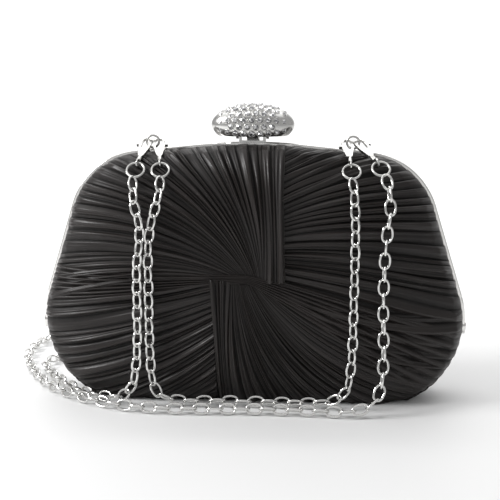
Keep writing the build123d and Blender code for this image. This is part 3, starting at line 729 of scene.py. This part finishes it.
# ---- Chains: a short carrying chain and a long shoulder chain ----
# Both are nickel-plated cable chain of plain oval links, each a quarter turn from the next.
# They hang from the snap hooks over the front and lie on the table.
MM = 0.001
CHAIN_WIDTH = 0.0063
LINK_LENGTH = 0.0092
WIRE = 0.00125
SHORT_ROUTE = [
    (-44.1, -25.6, 116.5), (-44.2, -31.8, 107.6), (-50.4, -31.2, 90.0), (-50.2, -31.0, 54.0),
    (-50.0, -31.6, 24.0), (-48.0, -32.4, 8.0), (-38.0, -30.0, 3.2), (-14.0, -27.2, 3.2),
    (14.0, -28.4, 3.2), (38.0, -28.6, 3.2), (49.0, -31.6, 8.0), (51.8, -32.4, 24.0),
    (52.2, -31.8, 56.0), (52.6, -32.0, 90.0), (52.0, -31.8, 107.6), (50.8, -25.7, 116.5),
]
LEFT_ROUTE = [
    (-57.9, -25.6, 116.5), (-57.6, -32.6, 107.0), (-52.6, -34.8, 92.0), (-55.6, -34.8, 76.0),
    (-55.4, -34.6, 54.0), (-55.8, -34.8, 24.0), (-59.5, -33.6, 8.0), (-71.0, -27.0, 3.2),
    (-85.0, -19.0, 3.2), (-97.5, -7.0, 3.2), (-107.0, 8.0, 3.2), (-117.0, 23.0, 3.2),
    (-121.0, 39.0, 3.2), (-114.0, 51.5, 3.2), (-99.0, 54.5, 3.2), (-78.0, 51.5, 3.2),
    (-58.0, 50.3, 3.2),
]
RIGHT_ROUTE = [
    (-58.0, 133.7, 3.2), (-80.0, 133.0, 3.2), (-103.0, 126.0, 3.2), (-122.0, 111.0, 3.2), (-133.0, 90.0, 3.2),
    (-136.5, 66.0, 3.2), (-133.0, 43.0, 3.2), (-125.0, 23.0, 3.2), (-115.5, 4.0, 3.2), (-103.0, -12.5, 3.2),
    (-88.0, -25.0, 3.2), (-70.0, -36.5, 3.2), (-48.0, -42.0, 3.2), (-22.0, -41.5, 3.2), (6.0, -39.6, 3.2),
    (32.0, -40.6, 3.2), (54.0, -43.0, 3.2), (65.0, -39.5, 8.0), (67.6, -34.5, 24.0), (66.4, -31.6, 56.0),
    (67.2, -31.8, 88.0), (70.4, -30.6, 106.6), (67.0, -23.1, 118.1),
]
COIL_CENTRE = (-58.0, 92.0)
COIL_TURNS = 2.5


def coil_points():
    """Points of the spare chain's loose turns: in along the table, then over the first turn and out."""
    per_turn = 14
    count = int(COIL_TURNS * per_turn)
    points = []
    for step in range(1, count):
        share = step / count
        angle = radians(-90 + 360 * COIL_TURNS * share)
        entering = max(0.0, 1 - share / 0.16)
        leaving = max(0.0, (share - 0.86) / 0.14)
        inner = min(1.0, max(0.0, (share - 0.38) / 0.2))
        over = min(1.0, max(0.0, (share - 0.62) / 0.1))
        radius = 35.2 - 6.2 * inner + 6.4 * entering**2 + 12.6 * leaving**1.3
        x = COIL_CENTRE[0] + radius * cos(angle)
        y = COIL_CENTRE[1] + radius * sin(angle)
        points.append((x, y, 3.2 + 6.2 * over * (1 - leaving**3)))
    return points


def smooth_line(route):
    """Points read from the smooth line that the route's points control."""
    data = bpy.data.curves.new("chain_line", "CURVE")
    data.dimensions = "3D"
    data.resolution_u = 14
    spline = data.splines.new("NURBS")
    spline.points.add(len(route) - 1)
    for point, place in zip(spline.points, route):
        point.co = (place[0] * MM, place[1] * MM, place[2] * MM, 1)
    spline.order_u = 3
    spline.use_endpoint_u = True
    guide = bpy.data.objects.new("chain_line", data)
    read = bpy.data.meshes.new_from_object(guide)
    points = [Vector(vertex.co) for vertex in read.vertices]
    bpy.data.objects.remove(guide)
    return points


def link_points(around, along):
    """An oval link about the origin, its length on X and its width on Y."""
    half_width = (CHAIN_WIDTH - WIRE) / 2
    half_length = (LINK_LENGTH - WIRE) / 2
    points = []
    for step in range(along):
        turn = 2 * pi * step / along
        middle = Vector((
            half_length * cos(turn) * (1 + 0.06 * sin(turn) ** 2),
            half_width * sin(turn) * (1 + 0.10 * cos(turn) ** 2), 0,
        ))
        out = Vector((cos(turn) / half_length, sin(turn) / half_width, 0)).normalized()
        for spin in range(around):
            angle = 2 * pi * spin / around
            points.append(middle + (out * cos(angle) + Vector((0, 0, sin(angle)))) * WIRE / 2)
    return points


def chain(name, route, drift, start_up):
    """A cable chain along a route, each link turned from the last."""
    line = smooth_line(route)
    lengths = [0.0]
    for first, second in zip(line, line[1:]):
        lengths.append(lengths[-1] + (second - first).length)
    around, along = 8, 26
    link = link_points(around, along)
    inside = LINK_LENGTH - 2 * WIRE
    count = round((lengths[-1] - inside) / (inside - 0.0001)) + 1
    pitch = (lengths[-1] - (LINK_LENGTH - 2.4 * WIRE)) / (count - 1)
    up = Vector(start_up)
    points, faces = [], []
    twist = 0.0
    for index in range(count):
        place = (LINK_LENGTH - 2.4 * WIRE) / 2 + pitch * index
        spots = []
        for at in (place - pitch * 0.45, place, place + pitch * 0.45):
            at = min(max(at, 0.0), lengths[-1])
            step = next((k for k, value in enumerate(lengths) if value >= at), len(lengths) - 1)
            step = max(1, step)
            part = (at - lengths[step - 1]) / (lengths[step] - lengths[step - 1])
            spots.append(line[step - 1].lerp(line[step], part))
        forward = (spots[2] - spots[0]).normalized()
        up = (up - forward * up.dot(forward)).normalized()
        twist += rng.uniform(-drift, drift)
        twist *= 0.9
        angle = pi / 4 + (pi / 2) * (index % 2) + twist + rng.uniform(-0.09, 0.09)
        width = Matrix.Rotation(angle, 3, forward) @ up
        depth = forward.cross(width)
        base = len(points)
        centre = (spots[0] + spots[1] * 2 + spots[2]) / 4
        points += [centre + forward * p.x + width * p.y + depth * p.z for p in link]
        faces += [
            (
                base + a * around + b, base + a * around + (b + 1) % around,
                base + (a + 1) % along * around + (b + 1) % around, base + (a + 1) % along * around + b,
            )
            for a in range(along) for b in range(around)
        ]
    piece = mesh_piece(name, points, faces)
    piece.data.materials.append(chain_nickel)
    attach(piece, "front_half")
    return piece, line


short_chain, short_line = chain("short_chain_links", SHORT_ROUTE, 0.10, (0, -1, 0))
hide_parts("short_chain")
long_chain, long_line = chain(
    "long_chain_links", LEFT_ROUTE + coil_points() + RIGHT_ROUTE, 0.10, (0, -1, 0)
)
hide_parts("long_chain_left", "long_chain_coil", "long_chain_right")
